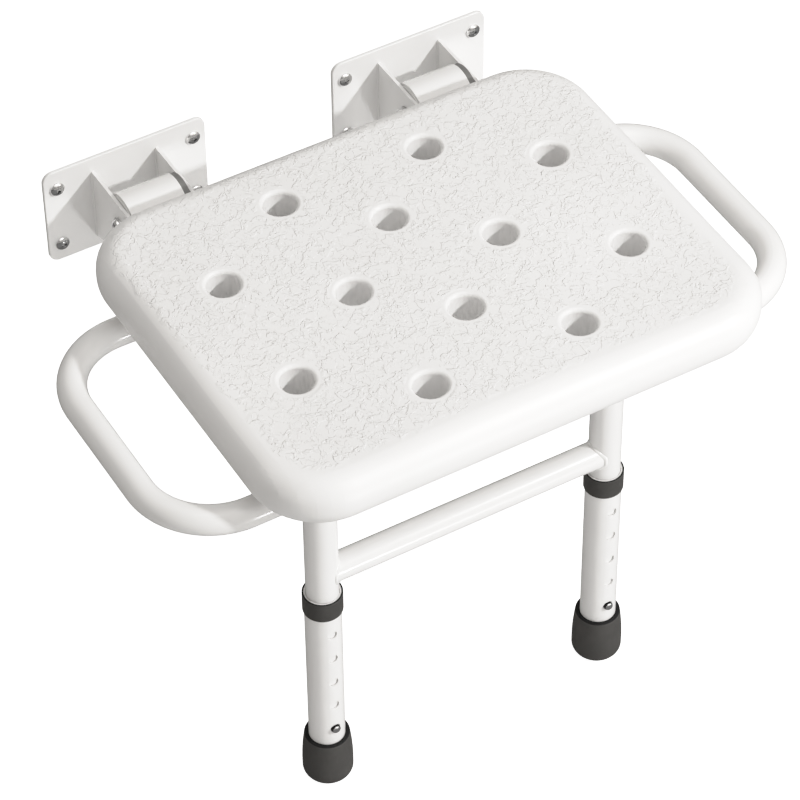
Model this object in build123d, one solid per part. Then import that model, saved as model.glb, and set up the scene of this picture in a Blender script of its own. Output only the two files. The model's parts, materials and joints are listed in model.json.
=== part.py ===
from build123d import *
import os
from math import sqrt

# Fold-up shower seat for a wall, with side handles and two telescopic front legs.
# Millimetres, +Z up, +Y towards the wall. The origin is on the floor, at the middle
# of the width and of the depth from the seat's front edge to the wall screws' tips.

# Seat board
SEAT_HEIGHT = 431.0
SEAT_WIDTH = 406.0
SEAT_DEPTH = 323.0
SEAT_THICKNESS = 45.5
SEAT_CORNER = 55.0
SEAT_TOP_ROUND = 20.0
SEAT_BOTTOM_ROUND = 22.0
SEAT_ROUND_LIMIT = 0.485
SEAT_SKIN = 3.0
DRAIN_BORE = 24.8
DRAIN_LIP = 3.2
DRAIN_ROW_PITCH = 53.2
DRAIN_PAIR_SPACING = 120.0
DRAIN_TRIO_SPACING = 135.0
SEAT_WALL_GAP = 75.1

# Wall plates, their screws and hinge ears
FRAME_SPACING = 243.0
PLATE_WIDTH = 134.0
PLATE_HEIGHT = 86.0
PLATE_THICKNESS = 3.0
PLATE_CORNER = 8.5
PLATE_EDGE = 0.8
PLATE_DROP = 57.5
WALL_SCREW_SPACING_X = 112.6
WALL_SCREW_SPACING_Z = 53.8
WALL_SCREW_SHANK = 6.0
WALL_SCREW_NECK = 6.4
WALL_SCREW_HEAD = 11.4
WALL_SCREW_HEAD_HEIGHT = 3.6
WALL_SCREW_REACH = 13.0
EAR_THICKNESS = 2.5
EAR_GAP = 50.5
EAR_RISE = 18.5
EAR_NOSE = 20.0
EAR_NOSE_DEPTH = 22.0
EAR_ROOT_DEPTH = 45.0
EAR_CORNER = 8.0

# Seat hinge
PIVOT_REACH = 46.3
PIVOT_DROP = 45.5
BARREL_DIAMETER = 46.0
BARREL_WALL = 3.0
BUSH_FLANGE_LEFT = 1.0
BUSH_FLANGE_RIGHT = 5.0
BUSH_INSET_LEFT = 2.2
BUSH_INSET_RIGHT = 1.2
BUSH_DEPTH = 14.0
HINGE_BOLT = 6.0
HINGE_BOLT_HEAD = 10.5
HINGE_BOLT_HEAD_HEIGHT = 3.8
HINGE_WASHER = 12.0
HINGE_WASHER_THICKNESS = 1.6
HINGE_NUT = 10.0
HINGE_NUT_HEIGHT = 5.0
BOLT_TIP = 2.0

# Seat frame under the board
RAIL_WIDTH = 30.0
RAIL_HEIGHT = 25.0
RAIL_WALL = 1.5
RAIL_CORNER = 3.0
RAIL_NOSE = 13.1
RAIL_REAR_INSET = 6.0
RAIL_CAP = 2.0
RAIL_CAP_DEPTH = 12.0
HANDLE_DIAMETER = 22.0
HANDLE_WALL = 1.6
HANDLE_REACH = 255.3
HANDLE_ARM_SPACING = 202.8
HANDLE_BEND = 56.0
SEAT_SCREW_SPACING_Y = 176.0
SEAT_SCREW_SHANK = 5.0
SEAT_SCREW_HEAD = 10.0
SEAT_SCREW_HEAD_HEIGHT = 3.2
SEAT_SCREW_BITE = 18.0
SEAT_BOSS = 18.0

# Leg hinge
LEG_SETBACK = 106.8
LEG_PIVOT_DROP = 22.0
CHEEK_THICKNESS = 3.0
CHEEK_WIDTH = 32.0
CHEEK_LAP = 20.0
LEG_BOLT = 8.0
LEG_BOLT_HEAD = 14.0
LEG_BOLT_HEAD_HEIGHT = 4.5
LEG_NUT = 13.0
LEG_NUT_HEIGHT = 7.0
LEG_BUSH = 12.0

# Telescopic legs
UPPER_DIAMETER = 25.0
UPPER_WALL = 1.5
UPPER_TOP = 12.0
UPPER_TAIL = 14.0
PLUG_HEAD = 2.0
PLUG_DEPTH = 5.0
CROSS_BAR_DIAMETER = 22.0
CROSS_BAR_WALL = 1.5
CROSS_BAR_GAP = 8.3
LOWER_DIAMETER = 28.0
HOLE_DIAMETER = 8.0
HOLE_PITCH = 26.4
HOLE_COUNT = 5
BUTTON_HEIGHT = 62.2
COLLAR_WALL = 1.25
COLLAR_HEIGHT = 18.0
COLLAR_LIP = 0.4
COLLAR_HOLE_GAP = 18.4
COLLAR_EDGE = 0.5
FOOT_HEIGHT = 45.0
FOOT_RIM = 35.0
FOOT_BASE = 39.2
FOOT_BELLY = 14.0
FOOT_FLOOR = 8.0
FOOT_BOTTOM_ROUND = 8.0
FOOT_RIM_ROUND = 1.2
FOOT_TREAD_WIDTH = 2.0
FOOT_TREAD_DEPTH = 1.5
FOOT_TREAD_RADII = (5.5, 10.0)
FOOT_WASHER = 2.0

# Snap buttons
BUTTON_DIAMETER = 7.2
BUTTON_PROUD = 3.0
BUTTON_DOME = 2.2
SPRING_WIDTH = 8.0
SPRING_THICKNESS = 0.8
SPRING_TAIL = 7.0
SPRING_SHOULDER = 8.0
SPRING_LENGTH = 60.0
SPRING_BEND = 3.0

# Fasteners, as shares of their own sizes
PAN_HEAD_ROUND = 0.8
CROSS_ARM = 0.55
CROSS_SLOT = 0.14
CROSS_DEPTH = 0.5
DOME_ROUND = 0.85
BOLT_TIP_CHAMFER = 0.12
NUT_HEXAGON_HEIGHT = 0.7
NUT_COLLAR = 0.92
NUT_COLLAR_ROUND = 0.12
CAP_ROUND = 0.6

# Clearances
RUNNING_FIT = 0.08
SLIDE_CLEARANCE = 0.3
SEAT_FIT = 0.05
END_PLAY = 0.3

# Places worked out from the sizes above
overall_depth = SEAT_DEPTH + SEAT_WALL_GAP + WALL_SCREW_REACH
wall_y = overall_depth / 2 - WALL_SCREW_REACH
plate_front_y = wall_y - PLATE_THICKNESS
plate_z = SEAT_HEIGHT - PLATE_DROP
seat_y = wall_y - SEAT_WALL_GAP - SEAT_DEPTH / 2
seat_front_y = seat_y - SEAT_DEPTH / 2
seat_bottom_z = SEAT_HEIGHT - SEAT_THICKNESS
frame_x = FRAME_SPACING / 2
pivot_y = wall_y - PIVOT_REACH
pivot_z = SEAT_HEIGHT - PIVOT_DROP
ear_outer = EAR_GAP / 2 + EAR_THICKNESS
barrel_length = EAR_GAP - BUSH_FLANGE_LEFT - BUSH_FLANGE_RIGHT - 2 * END_PLAY
barrel_shift = (BUSH_FLANGE_LEFT - BUSH_FLANGE_RIGHT) / 2
rail_bottom_z = seat_bottom_z - RAIL_HEIGHT
rail_z = seat_bottom_z - RAIL_HEIGHT / 2
front_arm_y = seat_y - HANDLE_ARM_SPACING / 2
rear_arm_y = seat_y + HANDLE_ARM_SPACING / 2
rail_front_y = front_arm_y - HANDLE_DIAMETER / 2 - RAIL_NOSE
tube_z = seat_bottom_z - HANDLE_DIAMETER / 2 - SLIDE_CLEARANCE
leg_y = seat_front_y + LEG_SETBACK
leg_pivot_z = rail_bottom_z - LEG_PIVOT_DROP
upper_bore = UPPER_DIAMETER - 2 * UPPER_WALL
lower_bore = UPPER_DIAMETER + 2 * SLIDE_CLEARANCE
lower_bottom_z = FOOT_FLOOR + FOOT_WASHER
top_hole_z = BUTTON_HEIGHT + (HOLE_COUNT - 1) * HOLE_PITCH
collar_bottom_z = top_hole_z + COLLAR_HOLE_GAP
collar_top_z = collar_bottom_z + COLLAR_HEIGHT
lower_top_z = collar_top_z - COLLAR_LIP
cross_bar_z = collar_top_z + CROSS_BAR_GAP + CROSS_BAR_DIAMETER / 2
arm_face = sqrt((upper_bore / 2 - SLIDE_CLEARANCE) ** 2 - (SPRING_WIDTH / 2) ** 2)

SIDES = {"left": -1, "right": 1}
BASE = (Align.CENTER, Align.CENTER, Align.MIN)
TOP = (Align.CENTER, Align.CENTER, Align.MAX)


def rod(start, direction, radius, length):
    """A round bar from a point along a direction."""
    return Plane(origin=start, z_dir=direction) * Cylinder(radius, length, align=BASE)


def ring(start, direction, radius, bore, length):
    """A round tube from a point along a direction."""
    return rod(start, direction, radius, length) - rod(start, direction, bore, length)


def upright(x, y, bottom, top, radius):
    """A vertical round bar between two heights."""
    return rod((x, y, bottom), (0, 0, 1), radius, top - bottom)


def screw(head, head_height, shank, length):
    """A pan-head screw with a cross recess; the head stands on the XY plane."""
    cap = Cylinder(head / 2, head_height, align=BASE)
    cap = fillet(cap.edges().group_by(Axis.Z)[-1], PAN_HEAD_ROUND * head_height)
    arm = CROSS_ARM * head
    slot = CROSS_SLOT * head
    recess = Box(arm, slot, head_height, align=BASE) + Box(slot, arm, head_height, align=BASE)
    cap -= Pos(0, 0, (1 - CROSS_DEPTH) * head_height) * recess
    return cap + Cylinder(shank / 2, length, align=TOP)


def dome_bolt(head, head_height, shank, length):
    """A domed bolt; the head stands on the XY plane and the shank hangs below."""
    cap = Cylinder(head / 2, head_height, align=BASE)
    cap = fillet(cap.edges().group_by(Axis.Z)[-1], DOME_ROUND * head_height)
    stem = Cylinder(shank / 2, length, align=TOP)
    stem = chamfer(stem.edges().group_by(Axis.Z)[0], BOLT_TIP_CHAMFER * shank)
    return cap + stem


def lock_nut(across_flats, height, thread):
    """A hexagon nut with a rounded top collar, standing on the XY plane."""
    outline = RegularPolygon(across_flats / 2, 6, major_radius=False)
    hexagon = extrude(outline, NUT_HEXAGON_HEIGHT * height)
    collar = Cylinder(NUT_COLLAR * across_flats / 2, height, align=BASE)
    collar = fillet(collar.edges().group_by(Axis.Z)[-1], NUT_COLLAR_ROUND * height)
    return hexagon + collar - Cylinder(thread / 2 + SEAT_FIT, 3 * height)


def drain_places():
    """The drain holes' places about the seat's centre: rows of two, three, two, three and two."""
    pair = DRAIN_PAIR_SPACING / 2
    places = []
    for row in range(-2, 3):
        columns = (-pair, pair) if row % 2 == 0 else (-DRAIN_TRIO_SPACING, 0, DRAIN_TRIO_SPACING)
        places += [(x, row * DRAIN_ROW_PITCH) for x in columns]
    return places


def seat_screw_places():
    """The seat screws' places about the seat's centre."""
    half = SEAT_SCREW_SPACING_Y / 2
    return [(s * frame_x, y) for s in SIDES.values() for y in (-half, half)]


def board_blank(inset):
    """The board's rounded block, drawn in by an inset on every side, about its own centre."""
    outline = RectangleRounded(SEAT_WIDTH - 2 * inset, SEAT_DEPTH - 2 * inset, SEAT_CORNER - inset)
    height = SEAT_THICKNESS - 2 * inset
    largest = SEAT_ROUND_LIMIT * SEAT_THICKNESS
    blank = Pos(0, 0, -height / 2) * extrude(outline, height)
    blank = fillet(blank.edges().group_by(Axis.Z)[-1], min(SEAT_TOP_ROUND, largest) - inset)
    return fillet(blank.edges().group_by(Axis.Z)[0], min(SEAT_BOTTOM_ROUND, largest) - inset)


def seat_board():
    """The hollow moulded board: skin, drain tubes and screw bosses."""
    board = board_blank(0)
    cavity = board_blank(SEAT_SKIN)
    drain = Cylinder(DRAIN_BORE / 2, 2 * SEAT_THICKNESS)
    drain_tube = Cylinder(DRAIN_BORE / 2 + SEAT_SKIN, 2 * SEAT_THICKNESS)
    boss = Cylinder(SEAT_BOSS / 2, 2 * SEAT_THICKNESS)
    pilot = Cylinder(SEAT_SCREW_SHANK / 2 + SEAT_FIT, SEAT_SCREW_BITE + SEAT_SKIN, align=BASE)
    board -= [Pos(x, y) * drain for x, y in drain_places()]
    rims = board.edges().filter_by(GeomType.CIRCLE)
    rims = rims.filter_by(lambda e: abs(e.radius - DRAIN_BORE / 2) < 1e-6 and e.is_closed)
    board = fillet(rims, DRAIN_LIP)
    cavity -= [Pos(x, y) * drain_tube for x, y in drain_places()]
    cavity -= [Pos(x, y) * boss for x, y in seat_screw_places()]
    board -= cavity
    board -= [Pos(x, y, -SEAT_THICKNESS / 2) * pilot for x, y in seat_screw_places()]
    return Pos(0, seat_y, SEAT_HEIGHT - SEAT_THICKNESS / 2) * board


def wall_screw_places(side):
    """The four wall screws' places on a plate's front face."""
    half_x = WALL_SCREW_SPACING_X / 2
    half_z = WALL_SCREW_SPACING_Z / 2
    corners = [(a, b) for a in (-half_x, half_x) for b in (-half_z, half_z)]
    return [(side * frame_x + a, plate_front_y, plate_z + b) for a, b in corners]


def wall_plate(side):
    """A wall plate with rounded corners and four screw holes."""
    face = Plane(origin=(side * frame_x, wall_y, plate_z), x_dir=(1, 0, 0), z_dir=(0, -1, 0))
    plate = extrude(face * RectangleRounded(PLATE_WIDTH, PLATE_HEIGHT, PLATE_CORNER), PLATE_THICKNESS)
    plate = fillet(plate.edges().group_by(Axis.Y)[0], PLATE_EDGE)
    hole = WALL_SCREW_NECK / 2 + SLIDE_CLEARANCE
    return plate - [rod(p, (0, 1, 0), hole, PLATE_THICKNESS) for p in wall_screw_places(side)]


def wall_screws(side):
    """The four pan-head screws of a plate, each with a plain neck as long as the plate is thick."""
    length = PLATE_THICKNESS + WALL_SCREW_REACH
    pan = screw(WALL_SCREW_HEAD, WALL_SCREW_HEAD_HEIGHT, WALL_SCREW_SHANK, length)
    pan += Cylinder(WALL_SCREW_NECK / 2, PLATE_THICKNESS, align=TOP)
    return [Plane(origin=p, x_dir=(1, 0, 0), z_dir=(0, -1, 0)) * pan for p in wall_screw_places(side)]


def hinge_ears(side):
    """The two flat ears that stand on a plate and hold the hinge bolt."""
    top = pivot_z + EAR_RISE
    nose_y = pivot_y - EAR_NOSE
    outline = Polyline(
        (plate_front_y, top),
        (nose_y, top),
        (nose_y, pivot_z - EAR_NOSE_DEPTH),
        (plate_front_y, pivot_z - EAR_ROOT_DEPTH),
        close=True,
    )
    ear = make_face(outline)
    ear = fillet(ear.vertices().group_by(Axis.X)[0], EAR_CORNER)
    ears = []
    for inner in (-ear_outer, EAR_GAP / 2):
        start = side * frame_x + inner
        inner_face = Plane(origin=(start, 0, 0), x_dir=(0, 1, 0), z_dir=(1, 0, 0))
        blade = extrude(inner_face * ear, EAR_THICKNESS)
        hole = rod((start, pivot_y, pivot_z), (1, 0, 0), HINGE_BOLT / 2 + SEAT_FIT, EAR_THICKNESS)
        ears.append(blade - hole)
    return ears


def bolt_line(side, reach, y, z, outwards):
    """A plane across a hinge line, at a distance from the frame line, facing outwards or inwards."""
    way = side if outwards else -side
    return Plane(origin=(side * frame_x + way * reach, y, z), z_dir=(way, 0, 0))


def hinge_bolt(side):
    """The domed bolt through a pair of ears, its head on the outer ear."""
    length = 2 * ear_outer + 2 * HINGE_WASHER_THICKNESS + HINGE_NUT_HEIGHT + BOLT_TIP
    bolt = dome_bolt(HINGE_BOLT_HEAD, HINGE_BOLT_HEAD_HEIGHT, HINGE_BOLT, length)
    return bolt_line(side, ear_outer + HINGE_WASHER_THICKNESS, pivot_y, pivot_z, True) * bolt


def hinge_washers(side):
    """The flat washers under a hinge bolt's head and nut."""
    disc = Cylinder(HINGE_WASHER / 2, HINGE_WASHER_THICKNESS, align=BASE)
    disc -= Cylinder(HINGE_BOLT / 2 + SEAT_FIT, 3 * HINGE_WASHER_THICKNESS)
    return [bolt_line(side, ear_outer, pivot_y, pivot_z, way) * disc for way in (True, False)]


def hinge_nut(side):
    """The lock nut on the inner end of a hinge bolt."""
    nut = lock_nut(HINGE_NUT, HINGE_NUT_HEIGHT, HINGE_BOLT)
    return bolt_line(side, ear_outer + HINGE_WASHER_THICKNESS, pivot_y, pivot_z, False) * nut


def hinge_barrel(side):
    """The tube that turns between a pair of ears."""
    start = (side * frame_x + barrel_shift - barrel_length / 2, pivot_y, pivot_z)
    outer = BARREL_DIAMETER / 2
    return ring(start, (1, 0, 0), outer, outer - BARREL_WALL, barrel_length)


def hinge_bushes(side):
    """The flanged bushes in the two ends of a barrel, the right one with the thicker flange."""
    bore = HINGE_BOLT / 2 + RUNNING_FIT
    spigot = BARREL_DIAMETER / 2 - BARREL_WALL - SEAT_FIT
    bushes = []
    left_end = (-1, BUSH_FLANGE_LEFT, BUSH_INSET_LEFT)
    right_end = (1, BUSH_FLANGE_RIGHT, BUSH_INSET_RIGHT)
    for way, thickness, inset in (left_end, right_end):
        face = (side * frame_x + barrel_shift + way * barrel_length / 2, pivot_y, pivot_z)
        flange = rod(face, (way, 0, 0), BARREL_DIAMETER / 2 - inset, thickness)
        bush = flange + rod(face, (-way, 0, 0), spigot, BUSH_DEPTH)
        hole_start = (face[0] - way * BUSH_DEPTH, pivot_y, pivot_z)
        bushes.append(bush - rod(hole_start, (way, 0, 0), bore, BUSH_DEPTH + thickness))
    return bushes


def rail_bore(clearance):
    """The outline of a rail's inside, drawn in by a clearance."""
    shrink = 2 * (RAIL_WALL + clearance)
    return RectangleRounded(RAIL_WIDTH - shrink, RAIL_HEIGHT - shrink, RAIL_CORNER - RAIL_WALL)


def side_rail(side):
    """A rectangular tube from the barrel to the front, coped round the barrel."""
    rear_y = pivot_y - RAIL_REAR_INSET
    section = RectangleRounded(RAIL_WIDTH, RAIL_HEIGHT, RAIL_CORNER)
    bore = rail_bore(0)
    end = Plane(origin=(side * frame_x, rear_y, rail_z), x_dir=(1, 0, 0), z_dir=(0, -1, 0))
    rail = extrude(end * (section - bore), rear_y - rail_front_y)
    barrel_start = (side * frame_x - RAIL_WIDTH, pivot_y, pivot_z)
    rail -= rod(barrel_start, (1, 0, 0), BARREL_DIAMETER / 2, 2 * RAIL_WIDTH)
    for x, y in seat_screw_places():
        if x * side > 0:
            hole = SEAT_SCREW_SHANK / 2 + SLIDE_CLEARANCE
            rail -= upright(x, seat_y + y, rail_bottom_z, seat_bottom_z, hole)
    return rail


def rail_cap(side):
    """The plastic plug in the front end of a rail."""
    end = Plane(origin=(side * frame_x, rail_front_y, rail_z), x_dir=(1, 0, 0), z_dir=(0, -1, 0))
    head = extrude(RectangleRounded(RAIL_WIDTH, RAIL_HEIGHT, RAIL_CORNER), RAIL_CAP)
    head = fillet(head.edges().group_by(Axis.Z)[-1], CAP_ROUND * RAIL_CAP)
    return end * (head + extrude(rail_bore(SEAT_FIT), -RAIL_CAP_DEPTH))


def side_handle(side):
    """A bent tube loop beside the seat, butted on the rail's outer face."""
    start_x = side * (frame_x + RAIL_WIDTH / 2)
    far_x = side * HANDLE_REACH
    corners = [
        (start_x, rear_arm_y),
        (far_x, rear_arm_y),
        (far_x, front_arm_y),
        (start_x, front_arm_y),
    ]
    path = FilletPolyline(*[(x, y, tube_z) for x, y in corners], radius=HANDLE_BEND)
    end = Plane(origin=path @ 0, z_dir=path % 0)
    outer = HANDLE_DIAMETER / 2
    return sweep(end * Circle(outer), path) - sweep(end * Circle(outer - HANDLE_WALL), path)


def cross_tube(arm_y):
    """A round tube between the rails, in line with a pair of the handles' arms."""
    half = frame_x - RAIL_WIDTH / 2
    start = (-half, arm_y, tube_z)
    outer = HANDLE_DIAMETER / 2
    return ring(start, (1, 0, 0), outer, outer - HANDLE_WALL, 2 * half)


def seat_screws():
    """The screws that hold the board to the rails, from below."""
    length = RAIL_HEIGHT + SEAT_SCREW_BITE
    pan = screw(SEAT_SCREW_HEAD, SEAT_SCREW_HEAD_HEIGHT, SEAT_SCREW_SHANK, length)
    places = [(x, seat_y + y, rail_bottom_z) for x, y in seat_screw_places()]
    return [Plane(origin=p, x_dir=(1, 0, 0), z_dir=(0, 0, -1)) * pan for p in places]


def leg_cheeks(side):
    """The two plates on a rail's sides that hold a leg's pivot bolt."""
    top = rail_bottom_z + CHEEK_LAP
    blank = Rectangle(CHEEK_WIDTH, top - leg_pivot_z, align=(Align.CENTER, Align.MIN))
    blank += Circle(CHEEK_WIDTH / 2)
    blank -= Circle(LEG_BOLT / 2 + SEAT_FIT)
    cheeks = []
    for way in (-1, 1):
        start = side * frame_x + way * RAIL_WIDTH / 2
        inner = Plane(origin=(start, leg_y, leg_pivot_z), x_dir=(0, way, 0), z_dir=(way, 0, 0))
        cheeks.append(extrude(inner * blank, CHEEK_THICKNESS))
    return cheeks


def leg_bolt(side):
    """The pivot bolt of a leg, its head on the outer cheek."""
    outer = RAIL_WIDTH / 2 + CHEEK_THICKNESS
    length = 2 * outer + LEG_NUT_HEIGHT + BOLT_TIP
    bolt = dome_bolt(LEG_BOLT_HEAD, LEG_BOLT_HEAD_HEIGHT, LEG_BOLT, length)
    return bolt_line(side, outer, leg_y, leg_pivot_z, True) * bolt


def leg_nut(side):
    """The lock nut on a leg's pivot bolt."""
    nut = lock_nut(LEG_NUT, LEG_NUT_HEIGHT, LEG_BOLT)
    return bolt_line(side, RAIL_WIDTH / 2 + CHEEK_THICKNESS, leg_y, leg_pivot_z, False) * nut


def leg_bush(side):
    """The nylon sleeve across a leg's top that turns on the pivot bolt."""
    length = RAIL_WIDTH - 2 * END_PLAY
    start = (side * frame_x - length / 2, leg_y, leg_pivot_z)
    return ring(start, (1, 0, 0), LEG_BUSH / 2, LEG_BOLT / 2 + RUNNING_FIT, length)


def upper_leg(side):
    """The inner tube of a leg, with its pivot holes and its button hole."""
    x = side * frame_x
    bottom = BUTTON_HEIGHT - UPPER_TAIL
    length = leg_pivot_z + UPPER_TOP - bottom
    tube = ring((x, leg_y, bottom), (0, 0, 1), UPPER_DIAMETER / 2, upper_bore / 2, length)
    across = (x - UPPER_DIAMETER, leg_y, leg_pivot_z)
    tube -= rod(across, (1, 0, 0), LEG_BUSH / 2 + SEAT_FIT, 2 * UPPER_DIAMETER)
    return tube - rod((x, leg_y, BUTTON_HEIGHT), (0, -1, 0), HOLE_DIAMETER / 2, UPPER_DIAMETER)


def leg_plug(side):
    """The plastic plug in the top of a leg."""
    x = side * frame_x
    top = leg_pivot_z + UPPER_TOP
    head = upright(x, leg_y, top, top + PLUG_HEAD, UPPER_DIAMETER / 2)
    head = fillet(head.edges().group_by(Axis.Z)[-1], CAP_ROUND * PLUG_HEAD)
    return head + upright(x, leg_y, top - PLUG_DEPTH, top, upper_bore / 2 - SEAT_FIT)


def leg_cross_bar():
    """The round bar that joins the two legs, its ends coped to the leg tubes."""
    outer = CROSS_BAR_DIAMETER / 2
    start = (-frame_x, leg_y, cross_bar_z)
    bar = ring(start, (1, 0, 0), outer, outer - CROSS_BAR_WALL, FRAME_SPACING)
    low = cross_bar_z - CROSS_BAR_DIAMETER
    high = cross_bar_z + CROSS_BAR_DIAMETER
    for side in SIDES.values():
        bar -= upright(side * frame_x, leg_y, low, high, UPPER_DIAMETER / 2)
    return bar


def lower_leg(side):
    """The outer tube of a leg, with its row of height holes in the front."""
    x = side * frame_x
    length = lower_top_z - lower_bottom_z
    tube = ring((x, leg_y, lower_bottom_z), (0, 0, 1), LOWER_DIAMETER / 2, lower_bore / 2, length)
    for step in range(HOLE_COUNT):
        centre = (x, leg_y, BUTTON_HEIGHT + step * HOLE_PITCH)
        tube -= rod(centre, (0, -1, 0), HOLE_DIAMETER / 2, LOWER_DIAMETER)
    return tube


def leg_collar(side):
    """The sleeve round a lower leg's top end, standing a little above the tube."""
    x = side * frame_x
    bore = LOWER_DIAMETER / 2 + SEAT_FIT
    collar = upright(x, leg_y, collar_bottom_z, collar_top_z, bore + COLLAR_WALL)
    rims = collar.edges().filter_by(GeomType.CIRCLE)
    collar = fillet(rims, COLLAR_EDGE)
    return collar - upright(x, leg_y, collar_bottom_z, collar_top_z, bore)


def rubber_foot(side):
    """The barrel-shaped rubber foot, bored for the tube and its washer, with tread rings."""
    rim = FOOT_RIM / 2
    base = FOOT_BASE / 2
    bottom = Polyline((0, FOOT_HEIGHT), (0, 0), (base, 0), (base, FOOT_BELLY))
    flank = TangentArc((base, FOOT_BELLY), (rim, FOOT_HEIGHT), tangent=(0, 1))
    top = Line((rim, FOOT_HEIGHT), (0, FOOT_HEIGHT))
    profile = make_face(bottom + flank + top)
    corners = profile.vertices().filter_by(lambda v: v.X > 1)
    profile = fillet(corners.group_by(Axis.Y)[-1], FOOT_RIM_ROUND)
    corners = profile.vertices().filter_by(lambda v: v.X > 1)
    profile = fillet(corners.group_by(Axis.Y)[0], FOOT_BOTTOM_ROUND)
    foot = revolve(Plane.XZ * profile, Axis.Z)
    foot -= upright(0, 0, FOOT_FLOOR, FOOT_HEIGHT, LOWER_DIAMETER / 2 + SEAT_FIT)
    for radius in FOOT_TREAD_RADII:
        foot -= ring((0, 0, 0), (0, 0, 1), radius, radius - FOOT_TREAD_WIDTH, FOOT_TREAD_DEPTH)
    return Pos(side * frame_x, leg_y, 0) * foot


def foot_washer(side):
    """The steel disc that keeps a lower leg's end off the rubber."""
    x = side * frame_x
    return upright(x, leg_y, FOOT_FLOOR, lower_bottom_z, LOWER_DIAMETER / 2 - SEAT_FIT)


def button_spring(side):
    """The folded strip inside a leg that carries its button and bears on the back wall."""
    centre = arm_face - SPRING_THICKNESS / 2
    corners = [
        (-centre, -SPRING_TAIL),
        (-centre, SPRING_SHOULDER),
        (0, SPRING_LENGTH),
        (centre, SPRING_SHOULDER),
        (centre, -SPRING_TAIL),
    ]
    strip = trace(FilletPolyline(*corners, radius=SPRING_BEND), SPRING_THICKNESS)
    edge = Plane(
        origin=(side * frame_x - SPRING_WIDTH / 2, leg_y, BUTTON_HEIGHT),
        x_dir=(0, 1, 0),
        z_dir=(1, 0, 0),
    )
    return extrude(edge * strip, SPRING_WIDTH)


def snap_button(side):
    """The round button that stands out through both tubes of a leg."""
    start = (side * frame_x, leg_y - arm_face, BUTTON_HEIGHT)
    length = LOWER_DIAMETER / 2 + BUTTON_PROUD - arm_face
    button = rod(start, (0, -1, 0), BUTTON_DIAMETER / 2, length)
    return fillet(button.edges().group_by(Axis.Y)[0], BUTTON_DOME)


def both(make):
    """One piece from each side, as a list of solids."""
    return [make(side) for side in SIDES.values()]


def build_nodes():
    """Every node of the seat: its name and its solid or solids."""
    nodes = {
        "seat_board": seat_board(),
        "front_cross_tube": cross_tube(front_arm_y),
        "rear_cross_tube": cross_tube(rear_arm_y),
        "seat_screws": seat_screws(),
        "rail_end_caps": both(rail_cap),
        "hinge_bolts": both(hinge_bolt),
        "hinge_nuts": both(hinge_nut),
        "leg_pivot_bolts": both(leg_bolt),
        "leg_pivot_nuts": both(leg_nut),
        "leg_pivot_bushes": both(leg_bush),
        "leg_top_plugs": both(leg_plug),
        "leg_cross_bar": leg_cross_bar(),
    }
    makers = {
        "wall_plate": wall_plate,
        "wall_screws": wall_screws,
        "hinge_ears": hinge_ears,
        "hinge_washers": hinge_washers,
        "hinge_barrel": hinge_barrel,
        "hinge_bushes": hinge_bushes,
        "side_rail": side_rail,
        "handle": side_handle,
        "leg_cheeks": leg_cheeks,
        "upper_leg": upper_leg,
        "button_spring": button_spring,
        "snap_button": snap_button,
        "lower_leg": lower_leg,
        "leg_collar": leg_collar,
        "rubber_foot": rubber_foot,
        "foot_washer": foot_washer,
    }
    for label, side in SIDES.items():
        for name, make in makers.items():
            nodes[f"{label}_{name}"] = make(side)
    return nodes


os.makedirs("parts", exist_ok=True)
for node_name, made in build_nodes().items():
    pieces = made if isinstance(made, list) else [made]
    solids = [solid for piece in pieces for solid in piece.solids()]
    shape = solids[0] if len(solids) == 1 else Compound(children=solids)
    export_step(shape, f"parts/{node_name}.step")
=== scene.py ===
import json
from math import cos, exp, pi, radians, sin, sqrt

import bmesh
import bpy
from mathutils import Matrix, Vector


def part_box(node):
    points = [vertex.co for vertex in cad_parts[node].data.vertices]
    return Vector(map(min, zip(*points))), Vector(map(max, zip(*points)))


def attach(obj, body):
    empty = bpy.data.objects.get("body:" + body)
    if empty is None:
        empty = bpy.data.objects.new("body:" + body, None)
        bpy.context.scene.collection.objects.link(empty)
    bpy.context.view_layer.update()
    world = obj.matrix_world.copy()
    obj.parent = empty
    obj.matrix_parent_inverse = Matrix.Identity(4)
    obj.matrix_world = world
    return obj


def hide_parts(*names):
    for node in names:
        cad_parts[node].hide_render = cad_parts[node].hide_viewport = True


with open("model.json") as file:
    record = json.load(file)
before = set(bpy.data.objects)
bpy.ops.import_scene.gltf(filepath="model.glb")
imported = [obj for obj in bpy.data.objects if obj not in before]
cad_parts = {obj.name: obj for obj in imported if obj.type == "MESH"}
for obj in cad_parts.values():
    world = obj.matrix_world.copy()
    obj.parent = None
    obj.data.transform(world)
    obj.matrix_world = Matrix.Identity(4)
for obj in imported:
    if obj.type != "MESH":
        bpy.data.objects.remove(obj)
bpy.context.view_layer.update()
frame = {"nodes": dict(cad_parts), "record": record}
nodes = frame["nodes"]
MM = 0.001
SIDES = ("left", "right")
TOUCH = 1e-6

# Camera, as the photograph's own
CAMERA_AZIMUTH = radians(-29.74)
CAMERA_ELEVATION = radians(45.27)
CAMERA_ROLL = radians(-0.62)
CAMERA_LENS = 166.26
CAMERA_SENSOR = 36.0
CAMERA_OFFSET = (19.16 * MM, 97.33 * MM, 2609.5 * MM)
CAMERA_AIM_DROP = 1.0 * MM
CAMERA_REACH = 100.0

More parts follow.
